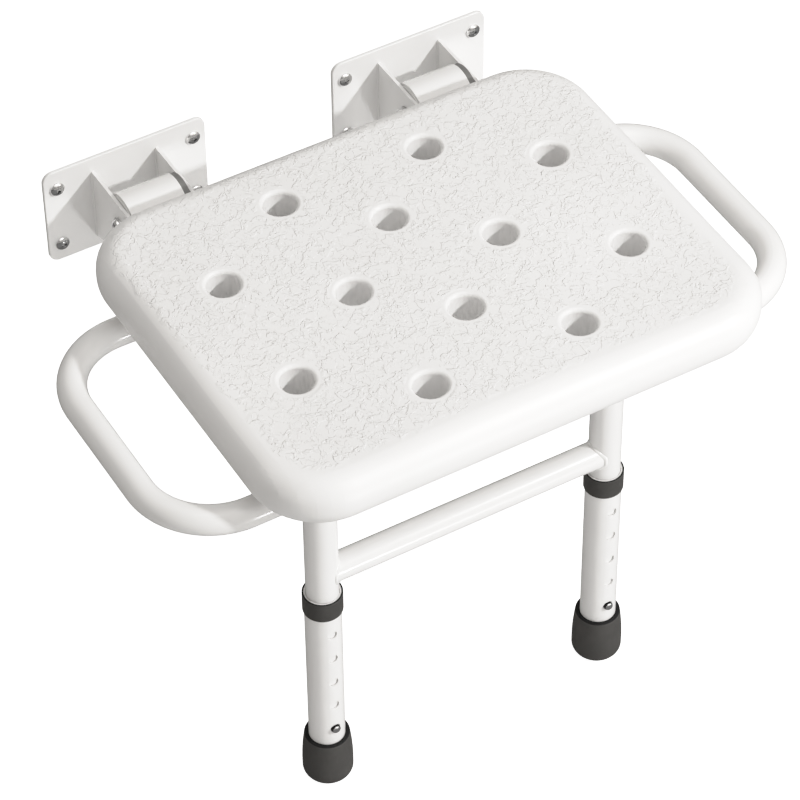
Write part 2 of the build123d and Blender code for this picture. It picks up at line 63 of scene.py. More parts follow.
# Lights, each with the way from the seat towards it
KEY = {"toward": (0.51, -0.68, 0.525), "distance": 3.2, "size": 0.17, "power": 67.0}
OVERHEAD = {"toward": (0.15, -0.25, 1.0), "distance": 2.6, "size": 2.2, "power": 22.0}
LOW_FILL = {"toward": (0.28, -1.0, -0.28), "distance": 4.0, "size": 0.3, "power": 31.0}
ROOM_LIGHT = 0.43
ROOM_COLOUR = (1.0, 0.97, 0.93, 1)
WHITE = (1, 1, 1, 1)
BLACK = (0, 0, 0, 1)

# What shiny faces mirror: a dim room with a bright panel, and a dim floor
SHEEN_ROOM = 0.3
SHEEN_PANEL = 1.0
SHEEN_TOWARD = Vector((0.3, -0.35, 0.89)).normalized()
SHEEN_EDGE = (0.5, 0.75)
SHEEN_FLOOR = 0.25

# Tones above the middle, as (light, shown)
HIGHLIGHT_LIMIT = 1.35
HIGHLIGHT_SHOULDER = ((0.55, 0.55), (0.8, 0.785), (1.0, 0.89))

# Floor
FLOOR_SIZE = 60.0
FLOOR_DROP = 0.5 * MM
FLOOR_TONES = ((0.7, 0.7, 0.7, 1), (0.74, 0.74, 0.74, 1))
FLOOR_PATCHES = 3.0
FLOOR_ROUGHNESS = 0.9
FLOOR_GLOW = 1.2

# Seat board
SEAT_CORNER = 55.0 * MM
SEAT_TOP_ROUND = 20.0 * MM
SEAT_BOTTOM_ROUND = 22.0 * MM
CORNER_STEPS = 18
ROUND_STEPS = 10
SEAT_SMOOTH = radians(40)
SEAT_NORMAL_WEIGHT = 80
DRAIN_RADIUS = 12.4 * MM
DRAIN_LIP = 3.2 * MM
DRAIN_LIP_STEPS = 9
DRAIN_STEPS = 64
DRAIN_ROW = 53.2 * MM
DRAIN_PAIR = 60.0 * MM
DRAIN_TRIO = 135.0 * MM
DISH_CUT = 9.0 * MM
DISH_DEPTH = 4.2 * MM
DISH_PLACE = (140.0 * MM, -75.0 * MM)
DISH_SPREAD = (45.0 * MM, 50.0 * MM)

# The board's flaked grain and where it fades out
GRAIN_HEIGHT = 0.29 * MM
GRAIN_SCALE = 118.0
GRAIN_BORDER_FRONT = 20.0 * MM
GRAIN_BORDER_REAR = 9.0 * MM
GRAIN_BORDER_FADE = 5.0 * MM
GRAIN_RAGGED = 16.0 * MM
GRAIN_RAGGED_SCALE = 75.0
GRAIN_DRAIN = (16.5 * MM, 19.0 * MM)
GRAIN_DEPTH = (12.0 * MM, 9.0 * MM)
FLAKE_NOISE = {"detail": 2.5, "roughness": 0.6, "distortion": 0.6}
FLAKE_EDGE = (0.5, 0.54)
CHIP_NOISE = {"detail": 2.0, "roughness": 0.55, "distortion": 0.8}
CHIP_EDGE = (0.56, 0.6)
CHIP_SCALE = 1.8
CHIP_SHARE = 0.7
FINE_SHARE = 0.03

# Wall screws
SCREW_HEAD = 11.4 * MM
SCREW_HEAD_HEIGHT = 3.6 * MM
SCREW_HEAD_STEPS = 9
SCREW_HEAD_CHAMFER = 0.2 * MM
SCREW_RIM = 0.9 * MM
SCREW_NECK = 6.4 * MM
SCREW_NECK_LENGTH = 3.0 * MM
SCREW_CORE = 4.6 * MM
SCREW_CREST = 6.0 * MM
SCREW_TIP = 0.75
SCREW_STEPS = 40
SCREW_SMOOTH = radians(28)
THREAD_PITCH = 1.9 * MM
THREAD_START = 0.6
THREAD_CREST = (0.45, 0.55)
THREAD_RUNOUT = 0.3
RECESS_ARM = 5.8 * MM
RECESS_SLOT = 1.3 * MM
RECESS_DEPTH = 2.0 * MM
RECESS_TAPER = (0.45, 0.7)
SCREW_TURNS = {"left": (12, 64, 33, 80), "right": (50, 21, 71, 5)}

# Welds
BEAD_RIPPLE = 0.25 * MM
BEAD_RIPPLE_SIZE = 2.2 * MM
BEAD_SMOOTH = radians(60)
BEAD_CUT = 1.5 * MM
BEAD_CUTS_LEAST = 8
BEAD_SIDES = 12
BEAD_END = 0.7
BEAD_END_STEPS = 3
RING_BEAD = 1.4 * MM
RING_STEPS = (72, 10)
EAR_BEAD = 1.0 * MM
EAR_BEAD_INSET = 1.0 * MM
EAR_THICKNESS = 2.5 * MM
RAIL_BEAD = 1.5 * MM
RAIL_BEAD_INSET = 2.0 * MM
BOARD_CLEARANCE = 0.05 * MM
TUBE_RADIUS = 11.0 * MM
LEG_RADIUS = 12.5 * MM
CHEEK_WIDTH = 32.0 * MM

# Slight changes over every surface
NOISE_MIDDLE = 0.5
PATCH_NOISE = {"detail": 3.0, "roughness": 0.55}
PATCH_EDGE = (0.35, 0.75)

# Painted shade on faces that look a given way, from and to these cosines; and the chrome finish
LIP_SLOPE = (0.45, 0.8)
# near-black painted shade and dark painted reflection, put on faces that look up: the tops of the
# rubber feet and black collars
LIP_SHADE_TONES = ((0.012, 0.012, 0.012, 1),) * 2
BUTTON_SLOPE = (0.3, 0.62)
# near-black painted shade for the snap buttons' sides in their holes
GAP_SHADE_TONES = ((0.02, 0.02, 0.02, 1),) * 2
CHROME_TONES = ((0.88, 0.88, 0.88, 1), (0.82, 0.82, 0.82, 1))
CHROME = {"gloss": (0.09, 0.06), "patches": 300.0, "grain": (2500.0, 0.004 * MM), "Metallic": 1.0}

seat_low, seat_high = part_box("seat_board")
seat_middle = (seat_low + seat_high) / 2
seat_size = seat_high - seat_low


# Modelling


def deselect_all():
    """Nothing selected, and no object in edit mode."""
    if bpy.context.object and bpy.context.object.mode != "OBJECT":
        bpy.ops.object.mode_set(mode="OBJECT")
    bpy.ops.object.select_all(action="DESELECT")


def work_on(obj):
    """obj alone selected and active."""
    deselect_all()
    obj.select_set(True)
    bpy.context.view_layer.objects.active = obj


def settle(obj):
    """obj's place, turn and scale moved into its mesh."""
    work_on(obj)
    bpy.ops.object.transform_apply(location=True, rotation=True, scale=True)


def smooth(obj, angle):
    """obj's faces shaded smooth, but for edges sharper than an angle."""
    work_on(obj)
    bpy.ops.object.shade_smooth_by_angle(angle=angle)


def finish_modifier(obj, kind, **settings):
    """A modifier added to obj with these settings, and applied."""
    work_on(obj)
    modifier = obj.modifiers.new(kind.lower(), kind)
    for key, value in settings.items():
        setattr(modifier, key, value)
    bpy.ops.object.modifier_apply(modifier=modifier.name)


def combine(obj, tool, operation):
    """obj joined with a tool, or cut by it; the tool is used up."""
    finish_modifier(obj, "BOOLEAN", operation=operation, object=tool, solver="EXACT")
    bpy.data.objects.remove(tool)


def pick_edges(obj, wanted):
    """obj in edit mode with only those edges selected for which wanted is true."""
    work_on(obj)
    bpy.ops.object.mode_set(mode="EDIT")
    bpy.ops.mesh.select_mode(type="EDGE")
    bpy.ops.mesh.select_all(action="DESELECT")
    mesh = bmesh.from_edit_mesh(obj.data)
    for edge in mesh.edges:
        edge.select_set(wanted(edge))
    mesh.select_flush_mode()
    bmesh.update_edit_mesh(obj.data)


def round_edges(offset, steps):
    """The selected edges rounded off."""
    bpy.ops.mesh.bevel(offset=offset, segments=steps, profile=0.5)


def rise(edge):
    """How far an edge climbs."""
    return abs(edge.verts[0].co.z - edge.verts[1].co.z)


def joined(parts, name):
    """Several mesh objects made into one with that name."""
    work_on(parts[0])
    for part in parts[1:]:
        part.select_set(True)
    bpy.ops.object.join()
    parts[0].name = name
    parts[0].data.name = name
    return parts[0]


def turned(points, name, steps, centre=(0, 0, 0)):
    """A closed solid turned about a vertical axis from its (radius, height) points.

    The first and last points lie on the axis.
    """
    deselect_all()
    bpy.ops.mesh.primitive_plane_add(size=1, location=(0, 0, 0))
    obj = bpy.context.object
    obj.name = name
    obj.data.name = name
    bpy.ops.object.mode_set(mode="EDIT")
    bpy.ops.mesh.select_all(action="SELECT")
    bpy.ops.mesh.delete(type="VERT")
    mesh = bmesh.from_edit_mesh(obj.data)
    profile = [mesh.verts.new((r, 0, z)) for r, z in points]
    for a, b in zip(profile, profile[1:]):
        mesh.edges.new((a, b))
    bmesh.update_edit_mesh(obj.data)
    bpy.ops.mesh.select_all(action="SELECT")
    bpy.ops.mesh.spin(steps=steps, angle=2 * pi, center=(0, 0, 0), axis=(0, 0, 1))
    bpy.ops.mesh.select_all(action="SELECT")
    bpy.ops.mesh.remove_doubles(threshold=TOUCH / 10)
    bpy.ops.mesh.normals_make_consistent(inside=False)
    bpy.ops.object.mode_set(mode="OBJECT")
    obj.location = centre
    settle(obj)
    return obj


def arc(centre, radius, start, end, steps):
    """Points on an arc from one angle to another, in degrees."""
    turn = [radians(start + (end - start) * i / steps) for i in range(steps + 1)]
    return [(centre[0] + radius * cos(t), centre[1] + radius * sin(t)) for t in turn]


# Seat board


def drain_places():
    """The drain holes' centres, in rows of two, three, two, three and two."""
    places = []
    for row in range(-2, 3):
        columns = (-DRAIN_PAIR, DRAIN_PAIR) if row % 2 == 0 else (-DRAIN_TRIO, 0, DRAIN_TRIO)
        places += [(seat_middle.x + x, seat_middle.y + row * DRAIN_ROW) for x in columns]
    return places


def drain_cutter(place):
    """A round cutter whose ends flare, so that the hole it makes has rounded lips."""
    flare = DRAIN_RADIUS + DRAIN_LIP
    top = seat_high.z
    bottom = seat_low.z
    clear = 2 * DRAIN_LIP
    points = [(0, bottom - clear), (flare, bottom - clear)]
    points += arc((flare, bottom + DRAIN_LIP), DRAIN_LIP, 270, 180, DRAIN_LIP_STEPS)
    points += arc((flare, top - DRAIN_LIP), DRAIN_LIP, 180, 90, DRAIN_LIP_STEPS)
    points += [(flare, top + clear), (0, top + clear)]
    return turned(points, "drain_cutter", DRAIN_STEPS, (*place, 0))


def seat_dip(x, y):
    """How far the board's top dips at a place: one shallow hollow under each thigh."""
    dip = 0.0
    for side in (-1, 1):
        across = (x - seat_middle.x - side * DISH_PLACE[0]) / DISH_SPREAD[0]
        along = (y - seat_middle.y - DISH_PLACE[1]) / DISH_SPREAD[1]
        dip += DISH_DEPTH * exp(-(across**2 + along**2) / 2)
    return dip


def cut_lines(obj, axis):
    """The board cut across by evenly spaced planes, so that its broad faces can bend."""
    low = seat_low[axis]
    high = seat_high[axis]
    count = int((high - low) / DISH_CUT)
    normal = Vector((0, 0, 0))
    normal[axis] = 1
    work_on(obj)
    bpy.ops.object.mode_set(mode="EDIT")
    for i in range(1, count):
        bpy.ops.mesh.select_all(action="SELECT")
        bpy.ops.mesh.bisect(plane_co=normal * (low + (high - low) * i / count), plane_no=normal)
    bpy.ops.object.mode_set(mode="OBJECT")


def make_seat():
    """The moulded board: rounded block, drain holes with lips, and shallow hollows in its top."""
    deselect_all()
    bpy.ops.mesh.primitive_cube_add(size=1, location=seat_middle)
    board = bpy.context.object
    board.name = "moulded_seat"
    board.data.name = "moulded_seat"
    board.scale = seat_size
    settle(board)
    pick_edges(board, lambda e: rise(e) > seat_size.z / 2)
    round_edges(SEAT_CORNER, CORNER_STEPS)
    for level, round_size in ((seat_high.z, SEAT_TOP_ROUND), (seat_low.z, SEAT_BOTTOM_ROUND)):
        pick_edges(board, lambda e: all(abs(v.co.z - level) < TOUCH for v in e.verts))
        round_edges(round_size, ROUND_STEPS)
    bpy.ops.object.mode_set(mode="OBJECT")
    cutters = joined([drain_cutter(place) for place in drain_places()], "drain_cutters")
    combine(board, cutters, "DIFFERENCE")
    for axis in (0, 1):
        cut_lines(board, axis)
    for vertex in board.data.vertices:
        share = (vertex.co.z - seat_middle.z) / (seat_high.z - seat_middle.z)
        if share > 0:
            vertex.co.z -= share * seat_dip(vertex.co.x, vertex.co.y)
    smooth(board, SEAT_SMOOTH)
    finish_modifier(board, "WEIGHTED_NORMAL", keep_sharp=True, weight=SEAT_NORMAL_WEIGHT)
    return board


# Wall screws


def screw_profile(length):
    """The outline of a pan-head screw, from its tip up to the middle of its head."""
    head = SCREW_HEAD / 2
    core = SCREW_CORE / 2
    crest = SCREW_CREST / 2
    neck = SCREW_NECK / 2
    points = [(0, -length), (core / 2, -length)]
    count = int((length - SCREW_NECK_LENGTH - THREAD_PITCH) / THREAD_PITCH)
    for i in range(count):
        low = -length + THREAD_PITCH * (i + THREAD_START)
        taper = SCREW_TIP if i == 0 else 1.0
        points.append((core * taper, low))
        points += [(crest * taper, low + share * THREAD_PITCH) for share in THREAD_CREST]
    points.append((core, -SCREW_NECK_LENGTH - THREAD_RUNOUT * THREAD_PITCH))
    points.append((neck, -SCREW_NECK_LENGTH))
    points += [(neck, 0), (head - SCREW_HEAD_CHAMFER, 0), (head, SCREW_HEAD_CHAMFER)]
    points.append((head, SCREW_RIM))
    for i in range(1, SCREW_HEAD_STEPS):
        turn = radians(90 * i / SCREW_HEAD_STEPS)
        height = SCREW_RIM + (SCREW_HEAD_HEIGHT - SCREW_RIM) * sin(turn)
        points.append((head * cos(turn), height))
    return points + [(0, SCREW_HEAD_HEIGHT)]


def recess_cutter():
    """A tapered cross that cuts the recess in a screw's head."""
    arms = []
    for turn in (0, 90):
        deselect_all()
        bpy.ops.mesh.primitive_cube_add(
            size=1, location=(0, 0, SCREW_HEAD_HEIGHT), rotation=(0, 0, radians(turn))
        )
        arm = bpy.context.object
        arm.scale = (RECESS_ARM, RECESS_SLOT, 2 * RECESS_DEPTH)
        settle(arm)
        pick_edges(arm, lambda e: all(v.co.z < SCREW_HEAD_HEIGHT for v in e.verts))
        taper = RECESS_TAPER if turn == 0 else RECESS_TAPER[::-1]
        bpy.ops.transform.resize(value=(*taper, 1), center_override=(0, 0, 0))
        bpy.ops.object.mode_set(mode="OBJECT")
        arms.append(arm)
    combine(arms[0], arms[1], "UNION")
    return arms[0]


def make_screw(length):
    """One wall screw, its head upwards and the plate's face at height nought."""
    screw = turned(screw_profile(length), "wall_screw", SCREW_STEPS)
    combine(screw, recess_cutter(), "DIFFERENCE")
    smooth(screw, SCREW_SMOOTH)
    return screw


def make_wall_screws(side):
    """The four screws of a plate, each turned as it was driven."""
    low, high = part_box(f"{side}_wall_screws")
    face_y = low.y + SCREW_HEAD_HEIGHT
    pattern = make_screw(high.y - face_y)
    half = SCREW_HEAD / 2
    screws = []
    places = [(x, z) for x in (low.x + half, high.x - half) for z in (low.z + half, high.z - half)]
    for (x, z), turn in zip(places, SCREW_TURNS[side]):
        copy = bpy.data.objects.new("wall_screw_copy", pattern.data.copy())
        bpy.context.scene.collection.objects.link(copy)
        copy.matrix_world = (
            Matrix.Translation((x, face_y, z))
            @ Matrix.Rotation(radians(90), 4, "X")
            @ Matrix.Rotation(radians(turn), 4, "Z")
        )
        settle(copy)
        screws.append(copy)
    bpy.data.objects.remove(pattern)
    return joined(screws, f"{side}_driven_screws")


# Welds


def ripple(bead):
    """Slight lumps along a weld bead, and smooth faces."""
    texture = bpy.data.textures.new("weld_ripple", "CLOUDS")
    texture.noise_scale = BEAD_RIPPLE_SIZE
    finish_modifier(
        bead,
        "DISPLACE",
        texture=texture,
        strength=BEAD_RIPPLE,
        mid_level=NOISE_MIDDLE,
        texture_coords="LOCAL",
    )
    smooth(bead, BEAD_SMOOTH)
    return bead


def ring_bead(place, radius):
    """A bead round a tube that runs across the seat."""
    deselect_all()
    bpy.ops.mesh.primitive_torus_add(
        location=place,
        rotation=(0, radians(90), 0),
        major_segments=RING_STEPS[0],
        minor_segments=RING_STEPS[1],
        major_radius=radius,
        minor_radius=RING_BEAD,
    )
    bead = bpy.context.object
    settle(bead)
    return ripple(bead)


def straight_bead(start, end, radius):
    """A bead along a straight corner, with rounded ends."""
    run = Vector(end) - Vector(start)
    deselect_all()
    bpy.ops.mesh.primitive_cylinder_add(
        vertices=BEAD_SIDES, radius=radius, depth=run.length, location=(0, 0, 0)
    )
    bead = bpy.context.object
    pick_edges(bead, lambda e: rise(e) < TOUCH)
    round_edges(BEAD_END * radius, BEAD_END_STEPS)
    pick_edges(bead, lambda e: rise(e) > run.length / 2)
    bpy.ops.mesh.subdivide(number_cuts=max(BEAD_CUTS_LEAST, int(run.length / BEAD_CUT)))
    bpy.ops.object.mode_set(mode="OBJECT")
    bead.rotation_euler = run.to_track_quat("Z", "Y").to_euler()
    bead.location = (Vector(start) + Vector(end)) / 2
    settle(bead)
    return ripple(bead)


def wall_welds():
    """The beads along both sides of each ear's root."""
    beads = []
    for side in SIDES:
        low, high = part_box(f"{side}_hinge_ears")
        ends = (low.z + EAR_BEAD_INSET, high.z - EAR_BEAD_INSET)
        for x in (low.x, low.x + EAR_THICKNESS, high.x - EAR_THICKNESS, high.x):
            beads.append(straight_bead(*[(x, high.y, z) for z in ends], EAR_BEAD))
    return joined(beads, "ear_welds")


def frame_welds():
    """The beads between the rails and the handles, cross tubes, barrels and cheeks."""
    beads = []
    for side in SIDES:
        rail_low, rail_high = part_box(f"{side}_side_rail")
        rail_faces = (rail_low.x, rail_high.x)
        low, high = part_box(f"{side}_handle")
        level = (low.z + high.z) / 2
        for y in (low.y + TUBE_RADIUS, high.y - TUBE_RADIUS):
            beads += [ring_bead((x, y, level), TUBE_RADIUS) for x in rail_faces]
        barrel_low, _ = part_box(f"{side}_hinge_barrel")
        ends = (rail_low.x + RAIL_BEAD_INSET, rail_high.x - RAIL_BEAD_INSET)
        beads.append(straight_bead(*[(x, barrel_low.y, rail_high.z) for x in ends], RAIL_BEAD))
        cheek_low, cheek_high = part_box(f"{side}_leg_cheeks")
        middle = (cheek_low.y + cheek_high.y) / 2
        edges = (middle - CHEEK_WIDTH / 2, middle + CHEEK_WIDTH / 2)
        top = cheek_high.z
        for x in rail_faces:
            for y in edges:
                foot = (x, y, rail_low.z + RAIL_BEAD_INSET)
                beads.append(straight_bead(foot, (x, y, top), RAIL_BEAD))
            beads.append(straight_bead(*[(x, y, top) for y in edges], RAIL_BEAD))
    welds = joined(beads, "frame_welds")
    for vertex in welds.data.vertices:
        if vertex.co.y < seat_high.y:
            vertex.co.z = min(vertex.co.z, seat_low.z - BOARD_CLEARANCE)
    return welds


def leg_welds():
    """The beads where the cross bar's ends lie against the round legs."""
    low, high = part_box("leg_cross_bar")
    level = (low.z + high.z) / 2
    leg_y = (low.y + high.y) / 2
    beads = []
    for side, way in zip(SIDES, (1, -1)):
        leg_low, leg_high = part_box(f"{side}_upper_leg")
        leg_x = (leg_low.x + leg_high.x) / 2
        bead = ring_bead((leg_x + way * LEG_RADIUS, leg_y, level), TUBE_RADIUS)
        for vertex in bead.data.vertices:
            across = min(abs(vertex.co.y - leg_y), TUBE_RADIUS)
            vertex.co.x -= way * (LEG_RADIUS - sqrt(LEG_RADIUS**2 - across**2))
        beads.append(bead)
    return joined(beads, "leg_welds")


# Materials


class NodeBench:
    """A node tree with short calls for the nodes that the materials use."""

    def __init__(self, tree):
        self.tree = tree

    def feed(self, made, inputs):
        """A node's inputs, by name or number, set to a value or linked to an output."""
        for key, value in inputs.items():
            if isinstance(value, bpy.types.NodeSocket):
                self.tree.links.new(value, made.inputs[key])
            else:
                made.inputs[key].default_value = value

    def node(self, kind, inputs=None, **settings):
        """A new node with these settings and inputs."""
        made = self.tree.nodes.new(kind)
        for key, value in settings.items():
            setattr(made, key, value)
        self.feed(made, inputs or {})
        return made

    def math(self, operation, a, b=0.0):
        """A sum of one or two values."""
        return self.node("ShaderNodeMath", {0: a, 1: b}, operation=operation).outputs[0]

    def length(self, a, b):
        """The length of a flat vector with these two parts."""
        squares = [self.math("MULTIPLY", side, side) for side in (a, b)]
        return self.math("SQRT", self.math("ADD", *squares))

    def dot(self, a, b):
        """The dot product of two vectors."""
        made = self.node("ShaderNodeVectorMath", {0: a, 1: b}, operation="DOT_PRODUCT")
        return made.outputs["Value"]

    def between(self, value, low, high, to_low=0.0, to_high=1.0):
        """A smooth change from one value to another while value goes from low to high."""
        inputs = dict(enumerate((value, low, high, to_low, to_high)))
        return self.node("ShaderNodeMapRange", inputs, interpolation_type="SMOOTHSTEP").outputs[0]

    def noise(self, vector, scale, detail=2.0, roughness=0.5, distortion=0.0):
        """Soft noise at a place."""
        inputs = {"Vector": vector, "Scale": scale, "Detail": detail}
        inputs |= {"Roughness": roughness, "Distortion": distortion}
        return self.node("ShaderNodeTexNoise", inputs).outputs[0]

    def mix(self, factor, a, b):
        """A colour between two colours."""
        return self.node("ShaderNodeMix", {0: factor, 6: a, 7: b}, data_type="RGBA").outputs[2]

    def split(self, vector):
        """A vector's three parts."""
        return self.node("ShaderNodeSeparateXYZ", {"Vector": vector}).outputs

    def coordinate(self, kind):
        """A place or normal on the surface."""
        return self.node("ShaderNodeTexCoord").outputs[kind]

    def bump(self, height, distance):
        """A normal tilted by a height map whose top is at that distance."""
        inputs = {"Height": height, "Strength": 1.0, "Distance": distance}
        return self.node("ShaderNodeBump", inputs).outputs[0]

    def group(self, group, inputs):
        """The outputs of a node group placed with these inputs."""
        return self.node("ShaderNodeGroup", inputs, node_tree=group).outputs


def new_group(name, inputs, outputs):
    """A shader node group; returns it with its bench, its input sockets and its output node."""
    group = bpy.data.node_groups.new(name, "ShaderNodeTree")
    for label, kind, default in inputs:
        made = group.interface.new_socket(name=label, in_out="INPUT", socket_type=kind)
        if default is not None:
            made.default_value = default
    for label, kind in outputs:
        group.interface.new_socket(name=label, in_out="OUTPUT", socket_type=kind)
    b = NodeBench(group)
    return group, b, b.node("NodeGroupInput").outputs, b.node("NodeGroupOutput")


def drain_distance_group():
    """How far a place on the board is from the nearest drain hole's centre."""
    group, b, given, out = new_group(
        "drain_distance",
        [("Place", "NodeSocketVector", None)],
        [("Distance", "NodeSocketFloat")],
    )
    parts = b.split(given["Place"])
    across = b.math("ABSOLUTE", b.math("SUBTRACT", parts[0], seat_middle.x))
    along = b.math("SUBTRACT", parts[1], seat_middle.y)
    pair_x = b.math("SUBTRACT", across, DRAIN_PAIR)
    row = b.math("ROUND", b.math("DIVIDE", along, 2 * DRAIN_ROW))
    pair_y = b.math("SUBTRACT", along, b.math("MULTIPLY", row, 2 * DRAIN_ROW))
    half = DRAIN_TRIO / 2
    trio_x = b.math("SUBTRACT", b.math("ABSOLUTE", b.math("SUBTRACT", across, half)), half)
    trio_y = b.math("SUBTRACT", b.math("ABSOLUTE", along), DRAIN_ROW)
    nearest = b.math("MINIMUM", b.length(pair_x, pair_y), b.length(trio_x, trio_y))
    b.feed(out, {"Distance": nearest})
    return group


def rim_distance_group():
    """How far a place lies inside the board's rounded outline."""
    group, b, given, out = new_group(
        "rim_distance",
        [("Place", "NodeSocketVector", None)],
        [("Distance", "NodeSocketFloat")],
    )
    parts = b.split(given["Place"])
    over = []
    for axis in (0, 1):
        offset = b.math("ABSOLUTE", b.math("SUBTRACT", parts[axis], seat_middle[axis]))
        over.append(b.math("SUBTRACT", offset, seat_size[axis] / 2 - SEAT_CORNER))
    corner = b.length(*[b.math("MAXIMUM", o, 0.0) for o in over])
    inside = b.math("MINIMUM", b.math("MAXIMUM", *over), 0.0)
    b.feed(out, {"Distance": b.math("SUBTRACT", SEAT_CORNER, b.math("ADD", corner, inside))})
    return group


def flake_group():
    """Flat raised flakes with ragged edges, as on the board's grained top."""
    group, b, given, out = new_group(
        "flaked_grain",
        [("Place", "NodeSocketVector", None), ("Scale", "NodeSocketFloat", 100.0)],
        [("Height", "NodeSocketFloat")],
    )
    coarse = b.noise(given["Place"], given["Scale"], **FLAKE_NOISE)
    flakes = b.between(coarse, *FLAKE_EDGE)
    chip_scale = b.math("MULTIPLY", given["Scale"], CHIP_SCALE)
    chips = b.between(b.noise(given["Place"], chip_scale, **CHIP_NOISE), *CHIP_EDGE)
    b.feed(out, {"Height": b.math("ADD", flakes, b.math("MULTIPLY", chips, CHIP_SHARE))})
    return group


def surface_group():
    """Slight changes of tone and gloss over a surface, and a fine grain."""
    group, b, given, out = new_group(
        "surface_change",
        [
            ("Place", "NodeSocketVector", None),
            ("Colour", "NodeSocketColor", (0.8, 0.8, 0.8, 1)),
            ("Shade", "NodeSocketColor", (0.7, 0.7, 0.7, 1)),
            ("Patch Scale", "NodeSocketFloat", 12.0),
            ("Roughness", "NodeSocketFloat", 0.3),
            ("Roughness Change", "NodeSocketFloat", 0.1),
            ("Grain Scale", "NodeSocketFloat", 900.0),
        ],
        [
            ("Colour", "NodeSocketColor"),
            ("Roughness", "NodeSocketFloat"),
            ("Height", "NodeSocketFloat"),
        ],
    )
    patches = b.noise(given["Place"], given["Patch Scale"], **PATCH_NOISE)
    grain = b.noise(given["Place"], given["Grain Scale"])
    changes = [
        b.math("MULTIPLY", b.math("SUBTRACT", value, NOISE_MIDDLE), given["Roughness Change"])
        for value in (grain, patches)
    ]
    b.feed(out, {
        "Colour": b.mix(b.between(patches, *PATCH_EDGE), given["Colour"], given["Shade"]),
        "Roughness": b.math("ADD", given["Roughness"], b.math("ADD", *changes)),
        "Height": grain,
    })
    return group


def facing_group():
    """How squarely a surface faces a way: nought below one cosine and one above another."""
    group, b, given, out = new_group(
        "facing_mask",
        [
            ("Normal", "NodeSocketVector", None),
            ("Way", "NodeSocketVector", (0, 0, 1)),
            ("Low", "NodeSocketFloat", 0.4),
            ("High", "NodeSocketFloat", 0.8),
        ],
        [("Mask", "NodeSocketFloat")],
    )
    cosine = b.dot(given["Normal"], given["Way"])
    b.feed(out, {"Mask": b.between(cosine, given["Low"], given["High"])})
    return group


DRAIN_DISTANCE = drain_distance_group()
RIM_DISTANCE = rim_distance_group()
FLAKES = flake_group()
SURFACE = surface_group()
FACING = facing_group()


def new_material(name):
    """An empty node material; returns it with its bench and its Principled BSDF."""
    material = bpy.data.materials.new(name)
    material.use_nodes = True
    material.node_tree.nodes.clear()
    b = NodeBench(material.node_tree)
    shader = b.node("ShaderNodeBsdfPrincipled")
    b.node("ShaderNodeOutputMaterial", {0: shader.outputs[0]})
    return material, b, shader


def surface_of(b, tones, gloss, patches, grain_scale):
    """The outputs of the surface group with a material's values."""
    return b.group(SURFACE, {
        "Place": b.coordinate("Object"),
        "Colour": tones[0],
        "Shade": tones[1],
        "Patch Scale": patches,
        "Roughness": gloss[0],
        "Roughness Change": gloss[1],
        "Grain Scale": grain_scale,
    })


def lay_on(b, shader, surface, height, relief):
    """A surface's tones and gloss on a shader, with a height map of that relief."""
    b.feed(shader, {
        "Base Color": surface["Colour"],
        "Roughness": surface["Roughness"],
        "Normal": b.bump(height, relief),
    })


def finish_material(name, tones, gloss, patches, grain, mask=None, masked=None, **values):
    """A material with slight changes of tone and gloss and a fine grain.

    tones are two colours, gloss the roughness and its change, grain a scale and a height.
    Where mask gives one, the masked tones show. values go to the shader as they are.
    """
    material, b, shader = new_material(name)
    if mask:
        where = mask(b)
        tones = [b.mix(where, tone, other) for tone, other in zip(tones, masked)]
    surface = surface_of(b, tones, gloss, patches, grain[0])
    lay_on(b, shader, surface, surface["Height"], grain[1])
    b.feed(shader, values)
    return material


def facing(b, way, slope):
    """A mask of the faces that look one way."""
    inputs = {"Normal": b.coordinate("Normal"), "Way": way, "Low": slope[0], "High": slope[1]}
    return b.group(FACING, inputs)["Mask"]


def upper_lip_shade(b):
    """A mask of the faces that look up, where near-black painted shade goes."""
    return facing(b, (0, 0, 1), LIP_SLOPE)


def button_front(b):
    """A mask of the buttons' domed fronts."""
    return facing(b, (0, -1, 0), BUTTON_SLOPE)


def right_end_shade(b):
    """A mask of the right half of each hinge barrel, where the bushes get grey painted shade."""
    low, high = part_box("right_hinge_barrel")
    across = b.split(b.coordinate("Object"))[0]
    middle = b.math("MULTIPLY", b.math("SIGN", across), (low.x + high.x) / 2)
    return b.math("GREATER_THAN", across, middle)


def seat_material():
    """White moulded plastic: flaked grain on the top, smooth round the rim and the drain holes."""
    material, b, shader = new_material("seat_plastic")
    surface = surface_of(
        b,
        tones=((0.865, 0.858, 0.85, 1), (0.835, 0.827, 0.817, 1)),
        gloss=(0.42, 0.08),
        patches=9.0,
        grain_scale=700.0,
    )
    place = b.coordinate("Object")
    parts = b.split(place)
    uneven = b.math("SUBTRACT", b.noise(place, GRAIN_RAGGED_SCALE), NOISE_MIDDLE)
    ragged = b.math("MULTIPLY", uneven, GRAIN_RAGGED)
    rim = b.math("ADD", b.group(RIM_DISTANCE, {"Place": place})[0], ragged)
    border = b.between(parts[1], seat_low.y, seat_high.y, GRAIN_BORDER_FRONT, GRAIN_BORDER_REAR)
    rim_mask = b.between(b.math("SUBTRACT", rim, border), 0.0, GRAIN_BORDER_FADE)
    drain_mask = b.between(b.group(DRAIN_DISTANCE, {"Place": place})[0], *GRAIN_DRAIN)
    top_mask = b.between(parts[2], *[seat_high.z - depth for depth in GRAIN_DEPTH])
    mask = b.math("MULTIPLY", b.math("MULTIPLY", rim_mask, drain_mask), top_mask)
    flakes = b.group(FLAKES, {"Place": place, "Scale": GRAIN_SCALE})[0]
    fine = b.math("MULTIPLY", surface["Height"], FINE_SHARE)
    height = b.math("ADD", b.math("MULTIPLY", flakes, mask), fine)
    lay_on(b, shader, surface, height, GRAIN_HEIGHT)
    return material


